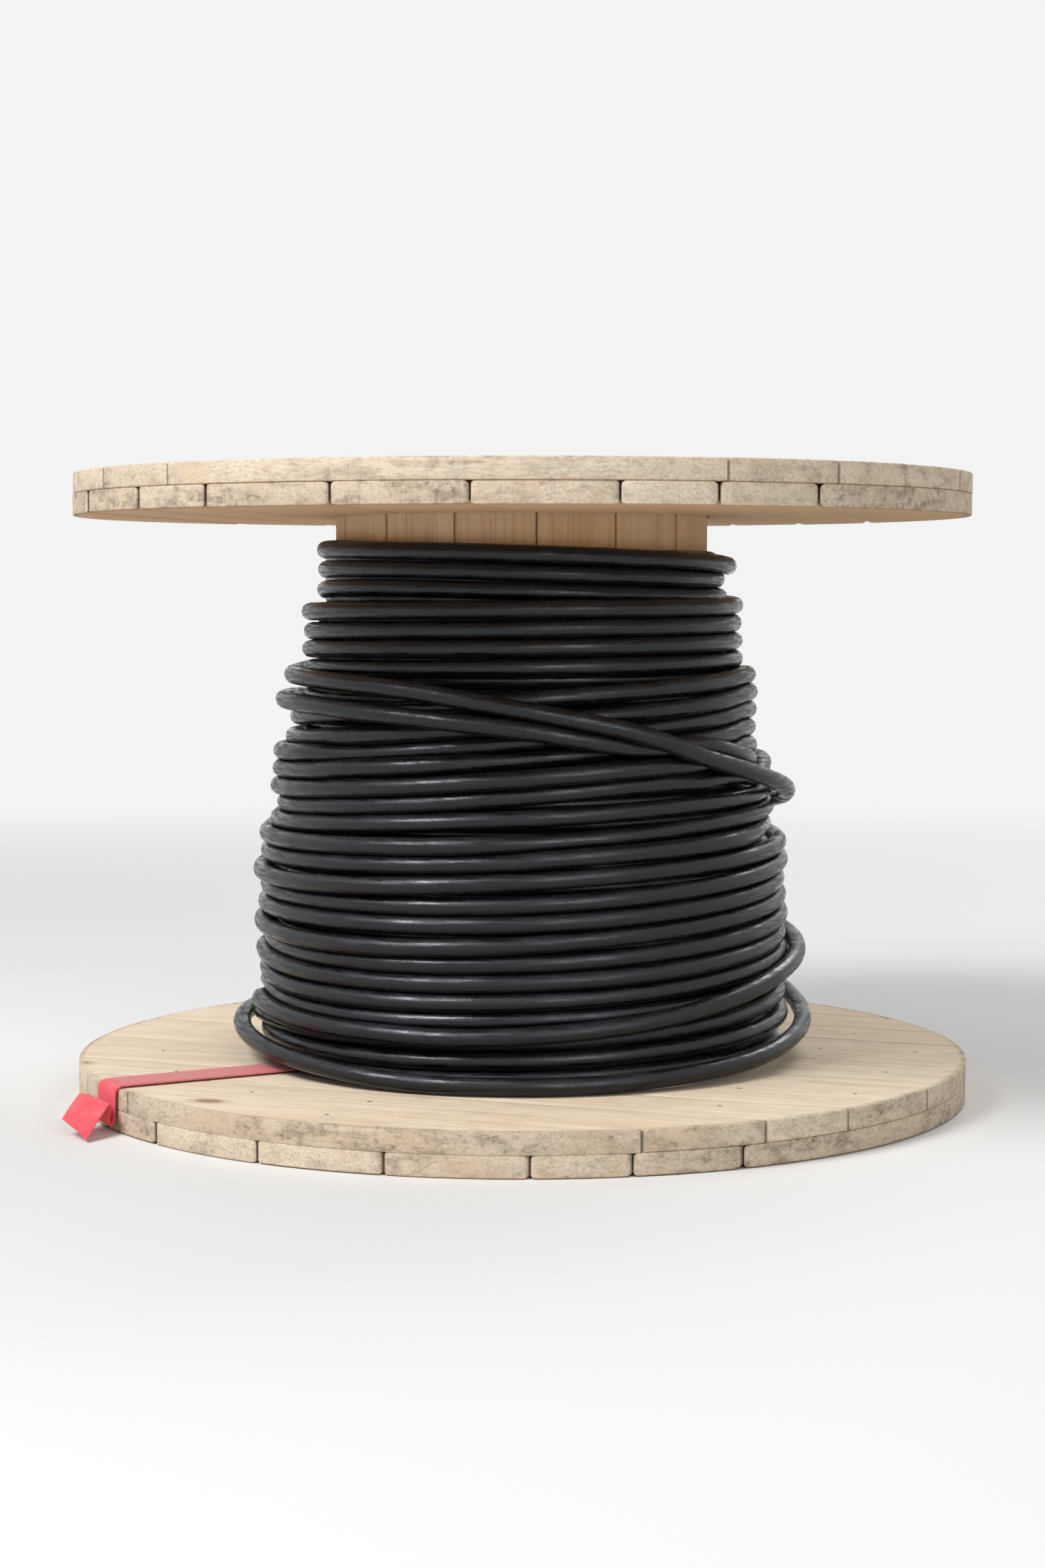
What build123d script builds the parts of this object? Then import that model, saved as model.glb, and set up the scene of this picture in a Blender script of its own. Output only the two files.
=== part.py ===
"""A wooden cable drum standing on its lower flange, part full of heavy round cable.

Millimetres, +Z up the drum's axis, origin at the centre of the lower flange's underside.
Each flange is two crossed layers of boards, cut to a circle. Staves seated in a groove of
the inner layers make the barrel, and tie bolts inside it pull the flanges together.
"""
import os
from math import cos, floor, hypot, pi, radians, sin, tan

from build123d import *

os.makedirs("parts", exist_ok=True)

# Flanges
flange_diameter = 1016.0
ply_thickness = 24.0
board_widths = [89.0, 89.0, 140.0, 140.0, 140.0, 89.0, 89.0]
board_gap = 1.5
board_offset = -25.5
arbor_diameter = 76.0
traverse = 610.0
upper_flange_turn = 10.0

# Barrel
stave_count = 15
stave_width = 88.4
stave_gap = 0.6
stave_thickness = 19.0
stave_seat_depth = 10.0
stave_seat_clearance = 0.5
stave_turn = 19.0

# Tie bolts
bolt_count = 4
bolt_diameter = 12.7
bolt_hole_clearance = 0.6
bolt_circle_diameter = 320.0
bolt_turn = 5.0
bolt_head_across_flats = 19.0
bolt_head_height = 8.0
nut_height = 11.0
nut_bore_clearance = 0.15
washer_width = 40.0
washer_thickness = 3.0
recess_clearance = 1.5
recess_cover = 1.5

# Cable winding
cable_diameter = 20.0
turn_pitch = 21.6
groove_depth = 7.0
winding_sides = 30
layer_turns_short = [1, 4, 8, 12, 16]
winding_bore_clearance = 0.3

# Lashing strap
strap_width = 50.0
strap_thickness = 2.0
strap_direction = -129.5
strap_clearance = 0.5
strap_drop = 32.0
strap_flap_reach = 26.0
strap_flap_drop = 9.0
strap_bend_radius = 4.0

flange_radius = flange_diameter / 2
flange_thickness = 2 * ply_thickness
upper_flange_base = flange_thickness + traverse
drum_height = upper_flange_base + flange_thickness

half_stave_angle = pi / stave_count
barrel_apothem = (stave_width + stave_gap) / 2 / tan(half_stave_angle)
barrel_corner_radius = hypot(barrel_apothem, stave_width / 2)
stave_inner_apothem = barrel_apothem - stave_thickness
groove_outer_radius = barrel_corner_radius + stave_seat_clearance
groove_inner_radius = stave_inner_apothem - stave_seat_clearance

bolt_circle_radius = bolt_circle_diameter / 2
bolt_hole_radius = bolt_diameter / 2 + bolt_hole_clearance
recess_radius = hypot(washer_width, washer_width) / 2 + recess_clearance
nut_recess_depth = washer_thickness + nut_height + recess_cover
head_recess_depth = washer_thickness + bolt_head_height + recess_cover

winding_bore_radius = barrel_corner_radius + winding_bore_clearance
layer_rise = cable_diameter * sin(radians(60))
winding_base = flange_thickness
full_layer_turns = floor(traverse / turn_pitch)
winding_foot_radius = (
    winding_bore_radius + cable_diameter + (len(layer_turns_short) - 1) * layer_rise
)


def make_ply(ply_name, base, turn, groove_base=None, recess_base=None, recess_depth=0.0):
    """One layer of a flange: boards along `turn` degrees from X, trimmed to the circle.

    The boards between the two outermost have stock widths, and those two are ripped to
    whatever is left on their side of the circle.
    """
    stock_width = sum(board_widths) + board_gap * (len(board_widths) - 1)
    first_joint = board_offset - stock_width / 2 - board_gap
    last_joint = board_offset + stock_width / 2 + board_gap
    widths = [flange_radius + first_joint, *board_widths, flange_radius - last_joint]
    edge = -flange_radius
    along = (cos(radians(turn)), sin(radians(turn)), 0)
    across = (-sin(radians(turn)), cos(radians(turn)), 0)
    for number, width in enumerate(widths, start=1):
        with BuildPart() as board:
            with BuildSketch(Plane(origin=(0, 0, base), x_dir=across, z_dir=along)):
                with Locations((edge + width / 2, ply_thickness / 2)):
                    Rectangle(width, ply_thickness)
            extrude(amount=flange_radius, both=True)
            with BuildSketch(Plane.XY.offset(base)):
                Circle(flange_radius)
            extrude(amount=ply_thickness, mode=Mode.INTERSECT)
            with BuildSketch(Plane.XY.offset(base)):
                Circle(arbor_diameter / 2)
                with PolarLocations(bolt_circle_radius, bolt_count, start_angle=bolt_turn):
                    Circle(bolt_hole_radius)
            extrude(amount=ply_thickness, mode=Mode.SUBTRACT)
            if groove_base is not None:
                with BuildSketch(Plane.XY.offset(groove_base)):
                    Circle(groove_outer_radius)
                    Circle(groove_inner_radius, mode=Mode.SUBTRACT)
                extrude(amount=stave_seat_depth, mode=Mode.SUBTRACT)
            if recess_base is not None:
                with BuildSketch(Plane.XY.offset(recess_base)):
                    with PolarLocations(bolt_circle_radius, bolt_count, start_angle=bolt_turn):
                        Circle(recess_radius)
                extrude(amount=recess_depth, mode=Mode.SUBTRACT)
        board.part.label = f"{ply_name}_board_{number}"
        export_step(board.part, f"parts/{board.part.label}.step")
        edge += width + board_gap


make_ply("lower_outer", 0, -90, recess_base=0, recess_depth=nut_recess_depth)
make_ply("lower_inner", ply_thickness, 0, groove_base=flange_thickness - stave_seat_depth)
make_ply("upper_inner", upper_flange_base, upper_flange_turn - 90, groove_base=upper_flange_base)
make_ply(
    "upper_outer",
    upper_flange_base + ply_thickness,
    upper_flange_turn,
    recess_base=drum_height - head_recess_depth,
    recess_depth=head_recess_depth,
)

# Barrel staves, bevelled so that their sides lie along the radii between them
stave_base = flange_thickness - stave_seat_depth
stave_length = traverse + 2 * stave_seat_depth
inner_half_width = stave_width / 2 - stave_thickness * tan(half_stave_angle)
for number in range(1, stave_count + 1):
    stave_angle = stave_turn + 360 / stave_count * (number - 1)
    with BuildPart() as stave:
        with BuildSketch(Plane.XY.offset(stave_base).rotated((0, 0, stave_angle))):
            with BuildLine():
                Polyline(
                    (barrel_apothem, -stave_width / 2),
                    (barrel_apothem, stave_width / 2),
                    (stave_inner_apothem, inner_half_width),
                    (stave_inner_apothem, -inner_half_width),
                    close=True,
                )
            make_face()
        extrude(amount=stave_length)
    stave.part.label = f"stave_{number}"
    export_step(stave.part, f"parts/{stave.part.label}.step")

# Tie bolts with their heads in the upper flange's recesses
head_seat = drum_height - head_recess_depth
nut_seat = nut_recess_depth
shank_tip = nut_seat - washer_thickness - nut_height
with BuildPart() as tie_bolts:
    with BuildSketch(Plane.XY.offset(shank_tip)):
        with PolarLocations(bolt_circle_radius, bolt_count, start_angle=bolt_turn):
            Circle(bolt_diameter / 2)
    extrude(amount=head_seat + washer_thickness - shank_tip)
    with BuildSketch(Plane.XY.offset(head_seat + washer_thickness)):
        with PolarLocations(bolt_circle_radius, bolt_count, start_angle=bolt_turn):
            RegularPolygon(bolt_head_across_flats / 2, 6, major_radius=False)
    extrude(amount=bolt_head_height)
tie_bolts.part.label = "tie_bolts"
export_step(tie_bolts.part, "parts/tie_bolts.step")

with BuildPart() as tie_bolt_nuts:
    with BuildSketch(Plane.XY.offset(shank_tip)):
        with PolarLocations(bolt_circle_radius, bolt_count, start_angle=bolt_turn):
            RegularPolygon(bolt_head_across_flats / 2, 6, major_radius=False)
            Circle(bolt_diameter / 2 + nut_bore_clearance, mode=Mode.SUBTRACT)
    extrude(amount=nut_height)
tie_bolt_nuts.part.label = "tie_bolt_nuts"
export_step(tie_bolt_nuts.part, "parts/tie_bolt_nuts.step")

with BuildPart() as tie_bolt_washers:
    for washer_base in (nut_seat - washer_thickness, head_seat):
        with BuildSketch(Plane.XY.offset(washer_base)):
            with PolarLocations(bolt_circle_radius, bolt_count, start_angle=bolt_turn):
                Rectangle(washer_width, washer_width)
                Circle(bolt_hole_radius, mode=Mode.SUBTRACT)
        extrude(amount=washer_thickness)
tie_bolt_washers.part.label = "tie_bolt_washers"
export_step(tie_bolt_washers.part, "parts/tie_bolt_washers.step")

# Cable winding: each layer nests in the one below it and has fewer turns, so the winding steps
# inwards towards the top. A ridge stands for each turn that shows, with a groove on both sides.
turn_crests = []
for turn in range(full_layer_turns - min(layer_turns_short)):
    layers = sum(turn < full_layer_turns - short for short in layer_turns_short)
    turn_crests.append(winding_bore_radius + cable_diameter + (layers - 1) * layer_rise)
sections = [(turn_crests[0] - groove_depth, winding_base)]
for turn, crest in enumerate(turn_crests):
    crest_above = turn_crests[min(turn + 1, len(turn_crests) - 1)]
    sections.append((crest, winding_base + (turn + 0.5) * turn_pitch))
    sections.append((crest_above - groove_depth, winding_base + (turn + 1) * turn_pitch))
with BuildPart() as cable_winding:
    for section_radius, section_height in sections:
        with BuildSketch(Plane.XY.offset(section_height)):
            RegularPolygon(section_radius, winding_sides, rotation=stave_turn)
    loft(ruled=True)
    with BuildSketch(Plane.XY.offset(winding_base)):
        RegularPolygon(winding_bore_radius, winding_sides, major_radius=False, rotation=stave_turn)
    extrude(amount=traverse, mode=Mode.SUBTRACT)
cable_winding.part.label = "cable_winding"
export_step(cable_winding.part, "parts/cable_winding.step")

# Lashing strap, flat on the lower flange from the foot of the winding and over the rim
strap_height = flange_thickness + strap_thickness / 2
strap_rim = flange_radius + strap_bend_radius
strap_start = winding_foot_radius + strap_clearance
strap_side = (cos(radians(strap_direction)), sin(radians(strap_direction)), 0)
strap_normal = (sin(radians(strap_direction)), -cos(radians(strap_direction)), 0)
with BuildPart() as lashing_strap:
    with BuildSketch(Plane(origin=(0, 0, 0), x_dir=strap_side, z_dir=strap_normal)):
        with BuildLine():
            FilletPolyline(
                (strap_start, strap_height),
                (strap_rim, strap_height),
                (strap_rim, strap_height - strap_drop),
                (strap_rim + strap_flap_reach, strap_height - strap_drop - strap_flap_drop),
                radius=strap_bend_radius,
            )
        trace(line_width=strap_thickness)
    extrude(amount=strap_width / 2, both=True)
lashing_strap.part.label = "lashing_strap"
export_step(lashing_strap.part, "parts/lashing_strap.step")
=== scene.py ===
"""A wooden cable drum, part full of heavy black cable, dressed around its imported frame.

Laid out as an add-on: each group of pieces has its own operator, the settings stand in the
3D view's sidebar, and main() calls the operators in order. Lengths are in metres, in the
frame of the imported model: +Z up the drum's axis, from the underside of the lower flange.
"""
from contextlib import contextmanager
from math import asin, ceil, cos, hypot, pi, radians, sin, tan, tau
from random import Random

import bmesh
import bpy
import numpy as np
from bpy.props import (
    FloatProperty,
    FloatVectorProperty,
    IntProperty,
    IntVectorProperty,
    PointerProperty,
)
from mathutils import Matrix, Vector


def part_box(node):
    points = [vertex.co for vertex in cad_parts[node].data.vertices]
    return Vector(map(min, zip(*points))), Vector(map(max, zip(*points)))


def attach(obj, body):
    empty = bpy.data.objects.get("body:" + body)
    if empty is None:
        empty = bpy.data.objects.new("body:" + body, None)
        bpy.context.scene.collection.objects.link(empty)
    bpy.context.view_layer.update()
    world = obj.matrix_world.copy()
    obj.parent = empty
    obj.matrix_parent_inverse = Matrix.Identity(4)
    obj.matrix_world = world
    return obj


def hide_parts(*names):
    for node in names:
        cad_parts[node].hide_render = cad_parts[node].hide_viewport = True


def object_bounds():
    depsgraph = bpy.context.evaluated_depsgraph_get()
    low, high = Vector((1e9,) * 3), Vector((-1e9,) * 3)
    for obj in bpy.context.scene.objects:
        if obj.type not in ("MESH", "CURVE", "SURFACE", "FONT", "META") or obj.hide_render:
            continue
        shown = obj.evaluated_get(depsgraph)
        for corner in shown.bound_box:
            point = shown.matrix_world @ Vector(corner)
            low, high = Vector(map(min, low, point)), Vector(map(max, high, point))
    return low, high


bl_info = {
    "name": "Wooden Cable Drum",
    "version": (1, 0, 0),
    "blender": (4, 5, 0),
    "location": "3D View > Sidebar > Cable Drum",
    "description": "Boards, staves, bolts, cable and strap of a wooden cable drum",
    "category": "Add Mesh",
}

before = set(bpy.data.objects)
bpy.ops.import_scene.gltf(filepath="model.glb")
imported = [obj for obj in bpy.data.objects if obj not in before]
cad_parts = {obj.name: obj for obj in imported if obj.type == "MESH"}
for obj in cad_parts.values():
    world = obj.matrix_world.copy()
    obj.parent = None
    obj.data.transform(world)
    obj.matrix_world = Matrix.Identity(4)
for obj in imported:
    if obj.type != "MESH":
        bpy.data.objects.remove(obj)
cad_low, cad_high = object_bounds()
bolts_low, bolts_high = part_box("tie_bolts")
stave_low, stave_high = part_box("stave_1")
winding_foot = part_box("cable_winding")[0].z
sawn_radius = -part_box("lower_outer_board_1")[0].x

PLIES = ("lower_outer", "lower_inner", "upper_inner", "upper_outer")
BOARDS_IN_PLY = 9
STAVES = 15
BOLTS = 4


# Settings


def length_setting(name, description, default):
    """A length, which the sidebar shows in the scene's units."""
    return FloatProperty(name=name, description=description, default=default, unit="LENGTH")


def angle_setting(name, description, degrees):
    """An angle, given in degrees and kept in radians."""
    return FloatProperty(
        name=name, description=description, default=radians(degrees), subtype="ANGLE"
    )


def colour_setting(name, description, default):
    """A colour."""
    return FloatVectorProperty(name=name, description=description, default=default, subtype="COLOR")


class DrumSizes(bpy.types.PropertyGroup):
    """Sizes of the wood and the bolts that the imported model's boxes don't give"""

    flange_radius: length_setting("Flange Radius", "Radius that the boards are cut to", sawn_radius)
    lower_turn: angle_setting("Lower Flange Turn", "Direction of the lower inner boards", 0)
    upper_turn: angle_setting("Upper Flange Turn", "Direction of the upper outer boards", 10)
    arbor_radius: length_setting("Arbor Hole Radius", "Radius of the hole on the axis", 0.038)
    edge_ease: length_setting("Edge Ease", "Rounding of a stock board's long edges", 0.0056)
    rim_ease: length_setting("Rim Ease", "Rounding of the flange's sawn rim", 0.0016)
    board_sag: length_setting("Board Sag", "Most that a board's face lies below its neighbours", 0.0009)
    rim_stock: length_setting(
        "Rim Board Stock", "Width that a flange's outermost boards are sawn from", 0.140
    )
    rim_waver: length_setting(
        "Rim Waver", "Most that a board's end stays inside the flange's circle", 0.0010
    )
    stave_apothem: length_setting(
        "Stave Face Distance", "Distance of a stave's outer face from the axis", 0.20937
    )
    stave_thickness: length_setting("Stave Thickness", "Thickness of a stave", 0.019)
    stave_width: length_setting("Stave Width", "Width of a stave's outer face", 0.0884)
    stave_turn: angle_setting("First Stave", "Direction of the first stave from the axis", 19)
    groove_depth: length_setting("Groove Depth", "Depth of the groove that the staves stand in", 0.010)
    bolt_circle: length_setting("Bolt Circle Radius", "Distance of the tie bolts from the axis", 0.160)
    bolt_turn: angle_setting("First Bolt", "Direction of the first tie bolt from the axis", 5)
    bolt_radius: length_setting("Bolt Radius", "Radius of a tie bolt's shank", 0.00635)
    bolt_hole_radius: length_setting("Bolt Hole Radius", "Radius of a hole for a tie bolt", 0.00695)
    head_flats: length_setting(
        "Head Across Flats", "Width of a bolt's head or nut across its flats", 0.019
    )
    head_height: length_setting("Head Height", "Height of a bolt's head", 0.008)
    nut_height: length_setting("Nut Height", "Height of a nut", 0.011)
    washer_width: length_setting("Washer Width", "Width of a square washer", 0.040)
    washer_thickness: length_setting("Washer Thickness", "Thickness of a square washer", 0.003)
    recess_radius: length_setting("Recess Radius", "Radius of the recess round a bolt's washer", 0.02978)
    recess_cover: length_setting("Recess Cover", "Depth of a head or nut below the flange's face", 0.0015)
    nail_radius: length_setting("Nail Head Radius", "Radius of a nail's head", 0.0030)


class CableSizes(bpy.types.PropertyGroup):
    """Sizes of the cable and of the way it is wound"""

    diameter: length_setting("Cable Diameter", "Outer diameter of the cable", 0.020)
    pitch: length_setting("Turn Pitch", "Rise of the cable in one turn", 0.0216)
    bore: length_setting("Winding Bore", "Radius that the innermost layer lies on", 0.2143)
    layer_turns: IntVectorProperty(
        name="Turns in Each Layer",
        description="Turns from the lower flange up, innermost layer first",
        size=5,
        default=(27, 24, 20, 16, 12),
    )
    drift: length_setting("Drift", "Scale of the turns' rise and fall at the sides of the front", 0.020)
    sag: length_setting("Sag", "Most that a turn hangs lower in front than at its sides", 0.013)
    wander: length_setting("Wander", "Uneven rise and fall of the turns", 0.0034)
    samples: IntProperty(
        name="Sides of a Turn", description="Points in one turn of the cable", default=96
    )
    sides: IntProperty(
        name="Sides of the Cable", description="Points round the cable's section", default=12
    )
    front: angle_setting("Front", "Direction that the drum is seen from", -69)


class StrapSizes(bpy.types.PropertyGroup):
    """Sizes of the lashing strap"""

    width: length_setting("Strap Width", "Width of the webbing", 0.050)
    thickness: length_setting("Strap Thickness", "Thickness of the webbing", 0.002)
    direction: angle_setting("Strap Direction", "Direction of the strap from the axis", -129.5)


class DrumColours(bpy.types.PropertyGroup):
    """Colours of the drum's materials"""

    pale_wood: colour_setting("Pale Wood", "Earlywood of the bleached flange boards", (0.85, 0.735, 0.58))
    late_wood: colour_setting("Late Wood", "Latewood lines of the flange boards", (0.72, 0.55, 0.37))
    # On the flange boards this colour also serves as painted shade on the faces that look down.
    warm_wood: colour_setting("Warm Wood", "Wood that the sun hasn't bleached", (0.64, 0.40, 0.20))
    grey_wood: colour_setting("Grey Wood", "Weathered wood at the rims", (0.27, 0.205, 0.150))
    knot: colour_setting("Knot", "Knots in the boards", (0.20, 0.10, 0.05))
    jacket: colour_setting("Cable Jacket", "Clean jacket of the cable", (0.0030, 0.0033, 0.0046))
    dust: colour_setting("Dust", "Dust and scuffs on the cable", (0.022, 0.023, 0.029))
    strap: colour_setting("Strap", "Webbing of the strap", (0.86, 0.055, 0.085))
    strap_faded: colour_setting("Faded Strap", "Webbing where it is dusty and faded", (0.70, 0.27, 0.26))
    zinc: colour_setting("Zinc", "Plating of the bolts, nuts and washers", (0.50, 0.50, 0.50))
    nail: colour_setting("Nail", "Heads of the nails", (0.24, 0.19, 0.14))
    floor: colour_setting("Floor", "Floor under the drum", (0.74, 0.74, 0.735))
    backdrop: colour_setting("Backdrop", "Background behind the drum", (0.90, 0.90, 0.895))


class CableDrumSettings(bpy.types.PropertyGroup):
    """All settings of the cable drum"""

    drum: PointerProperty(type=DrumSizes, name="Drum", description="Sizes of wood and bolts")
    cable: PointerProperty(type=CableSizes, name="Cable", description="Sizes of the winding")
    strap: PointerProperty(type=StrapSizes, name="Strap", description="Sizes of the strap")
    colours: PointerProperty(type=DrumColours, name="Colours", description="Colours of it all")


# Mesh helpers


def directions(angle):
    """The level direction at an angle from +X, and the one square to it on its left."""
    return Vector((cos(angle), sin(angle), 0)), Vector((-sin(angle), cos(angle), 0))


def deselect():
    """Deselect every object."""
    bpy.ops.object.select_all(action="DESELECT")


def make_active(piece):
    """Make one object the only one selected."""
    deselect()
    piece.select_set(True)
    bpy.context.view_layer.objects.active = piece


def placed_primitive():
    """The primitive that was added last, with its place in its mesh."""
    piece = bpy.context.object
    make_active(piece)
    bpy.ops.object.transform_apply(location=True, rotation=True, scale=True)
    return piece


def cylinder(radius, low, high, vertices, place=(0, 0)):
    """An upright cylinder, on the drum's axis unless a place is given."""
    deselect()
    bpy.ops.mesh.primitive_cylinder_add(
        vertices=vertices,
        radius=radius,
        depth=high - low,
        location=(place[0], place[1], (low + high) / 2),
    )
    return placed_primitive()


def block(size, middle):
    """A block of a size round its middle."""
    deselect()
    bpy.ops.mesh.primitive_cube_add(size=1, location=middle, scale=size)
    return placed_primitive()


def new_object(name, data):
    """A new object in the scene."""
    piece = bpy.data.objects.new(name, data)
    bpy.context.scene.collection.objects.link(piece)
    return piece


def copy_at(piece, move):
    """A copy of an object with a mesh of its own, moved or turned by a matrix."""
    copy = piece.copy()
    copy.data = piece.data.copy()
    bpy.context.scene.collection.objects.link(copy)
    copy.data.transform(move)
    return copy


def join(pieces):
    """Join objects into the first of them."""
    deselect()
    for piece in pieces:
        piece.select_set(True)
    bpy.context.view_layer.objects.active = pieces[0]
    if len(pieces) > 1:
        bpy.ops.object.join()
    return bpy.context.view_layer.objects.active


@contextmanager
def editing(piece):
    """Edit mode for one object, with the whole mesh selected at first."""
    make_active(piece)
    bpy.ops.object.mode_set(mode="EDIT")
    bpy.ops.mesh.select_all(action="SELECT")
    yield
    bpy.ops.object.mode_set(mode="OBJECT")


def select_where(piece, kind, test):
    """Select the edges or faces of an object in edit mode that pass a test, and count them."""
    bpy.ops.mesh.select_all(action="DESELECT")
    mesh = bmesh.from_edit_mesh(piece.data)
    chosen = [item for item in getattr(mesh, kind) if test(item)]
    for item in chosen:
        item.select_set(True)
    mesh.select_flush_mode()
    bmesh.update_edit_mesh(piece.data)
    return len(chosen)


def upright(edge):
    """Whether an edge stands up."""
    return abs(edge.verts[0].co.z - edge.verts[1].co.z) > 0.001


def apply_modifier(piece, kind, **settings):
    """Give an object a modifier and apply it."""
    make_active(piece)
    modifier = piece.modifiers.new(kind.title(), kind)
    for name, value in settings.items():
        setattr(modifier, name, value)
    bpy.ops.object.modifier_apply(modifier=modifier.name)


def carve(piece, tool, operation="DIFFERENCE", keep_tool=False):
    """Subtract a tool from a piece, or with INTERSECT keep only what lies in the tool."""
    apply_modifier(piece, "BOOLEAN", operation=operation, solver="EXACT", object=tool)
    if not keep_tool:
        bpy.data.objects.remove(tool)


def close_seams(piece):
    """Merge doubled points and turn the faces outwards."""
    with editing(piece):
        bpy.ops.mesh.remove_doubles(threshold=0.00001)
        bpy.ops.mesh.normals_make_consistent(inside=False)


def shade(piece, angle=35):
    """Smooth shading that leaves the edges sharper than an angle."""
    make_active(piece)
    bpy.ops.object.shade_smooth_by_angle(angle=radians(angle))


def mark_grain(piece, along, across, centre, half_width, seed, tint):
    """Store each point's place in its board, so that the grain follows the board.

    `grain` holds the distances along, across and through the board from its centre, and
    `board` holds its seed, half its width and its tint, from 0 to 1.
    """
    mesh = piece.data
    through = along.cross(across)
    grain = mesh.attributes.new("grain", "FLOAT_VECTOR", "POINT")
    board = mesh.attributes.new("board", "FLOAT_VECTOR", "POINT")
    for vertex, place, facts in zip(mesh.vertices, grain.data, board.data):
        offset = vertex.co - centre
        place.vector = (offset.dot(along), offset.dot(across), offset.dot(through))
        facts.vector = (seed, half_width, tint)


def dress(piece, name, slot, material, *nodes):
    """Name a finished piece, give it its material and put it on the drum's body."""
    piece.name = name
    piece.data.name = name
    piece.data.materials.clear()
    piece.data.materials.append(material)
    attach(piece, "root")
    if nodes:
        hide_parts(*nodes)


# Material helpers


class Value:
    """What a node puts out. Sums, differences and products of values become Math nodes."""

    def __init__(self, graph, socket):
        self.graph = graph
        self.socket = socket

    def __add__(self, other):
        return self.graph.math("ADD", self, other)

    def __sub__(self, other):
        return self.graph.math("SUBTRACT", self, other)

    def __rsub__(self, other):
        return self.graph.math("SUBTRACT", other, self)

    def __mul__(self, other):
        return self.graph.math("MULTIPLY", self, other)


class Graph:
    """Adds nodes to the tree of a material or a node group, in columns from left to right."""

    def __init__(self, tree):
        self.tree = tree
        self.count = 0

    def add(self, kind, inputs=None, **settings):
        """Add a node, link or set its inputs, and return its values by name and by number."""
        node = self.tree.nodes.new(kind)
        node.location = (180 * (self.count // 4), -220 * (self.count % 4))
        self.count += 1
        for name, value in settings.items():
            setattr(node, name, value)
        for name, value in (inputs or {}).items():
            socket = node.inputs[name]
            if isinstance(value, Value):
                self.tree.links.new(value.socket, socket)
            elif socket.type == "RGBA":
                socket.default_value = (*value, 1.0)
            else:
                socket.default_value = value
        values = {}
        for number, socket in enumerate(node.outputs):
            values[number] = values[socket.name] = Value(self, socket)
        return values

    def math(self, operation, first, second=0.0, clamp=False):
        inputs = {0: first, 1: second}
        return self.add("ShaderNodeMath", inputs, operation=operation, use_clamp=clamp)[0]

    def vector(self, operation, first, second):
        return self.add("ShaderNodeVectorMath", {0: first, 1: second}, operation=operation)[0]

    def distance(self, first, second):
        """The distance of a point from zero, from its two coordinates."""
        return self.math("SQRT", first * first + second * second)

    def step(self, value, low, high, to_low=0.0, to_high=1.0):
        """A smooth step from one value to another."""
        inputs = {"Value": value, "From Min": low, "From Max": high}
        inputs.update({"To Min": to_low, "To Max": to_high})
        return self.add("ShaderNodeMapRange", inputs, interpolation_type="SMOOTHSTEP")[0]

    def mix(self, factor, first, second):
        """A colour between two others."""
        inputs = {0: factor, 6: first, 7: second}
        return self.add("ShaderNodeMix", inputs, data_type="RGBA", clamp_factor=True)[2]

    def noise(self, vector, scale=1.0, detail=3.0, roughness=0.5):
        inputs = {"Vector": vector, "Scale": scale, "Detail": detail, "Roughness": roughness}
        return self.add("ShaderNodeTexNoise", inputs)[0]

    def mottle(self, place, flat, upward, detail, roughness=0.5):
        """Noise with one scale in the level directions and another upward."""
        scaled = self.vector("MULTIPLY", place, (flat, flat, upward))
        return self.noise(scaled, detail=detail, roughness=roughness)

    def split(self, vector):
        values = self.add("ShaderNodeSeparateXYZ", {0: vector})
        return values[0], values[1], values[2]

    def place(self):
        return self.add("ShaderNodeTexCoord")["Object"]

    def attribute(self, name):
        return self.add("ShaderNodeAttribute", attribute_name=name)["Vector"]

    def bump(self, height, strength, distance):
        inputs = {"Height": height, "Strength": strength, "Distance": distance}
        return self.add("ShaderNodeBump", inputs)[0]

    def group(self, name, build, inputs):
        """Place a node group, which is built when a material first asks for it."""
        tree = bpy.data.node_groups.get(name) or build(name)
        return self.add("ShaderNodeGroup", inputs, node_tree=tree)

    def surface(self, inputs):
        """End a material with its Principled shader."""
        shader = self.add("ShaderNodeBsdfPrincipled", inputs)[0]
        self.add("ShaderNodeOutputMaterial", {"Surface": shader})

    def put_out(self, values):
        """End a node group with named outputs, and return its tree."""
        for name, value in values.items():
            kind = "NodeSocketColor" if value.socket.type == "RGBA" else "NodeSocketFloat"
            self.tree.interface.new_socket(name=name, in_out="OUTPUT", socket_type=kind)
        self.add("NodeGroupOutput", values)
        return self.tree


def new_group(name, inputs):
    """A new node group's graph, and its inputs by name.

    An input's default is a number, a colour, or None for a vector that is always linked.
    """
    tree = bpy.data.node_groups.new(name, "ShaderNodeTree")
    kinds = {float: "NodeSocketFloat", tuple: "NodeSocketColor", type(None): "NodeSocketVector"}
    for label, default in inputs.items():
        kind = kinds[type(default)]
        socket = tree.interface.new_socket(name=label, in_out="INPUT", socket_type=kind)
        if default is not None:
            socket.default_value = (*default, 1.0) if type(default) is tuple else default
    graph = Graph(tree)
    return graph, graph.add("NodeGroupInput")


def new_material(name):
    """A material without nodes, and its graph."""
    material = bpy.data.materials.new(name)
    material.use_nodes = True
    material.node_tree.nodes.clear()
    return material, Graph(material.node_tree)


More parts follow.
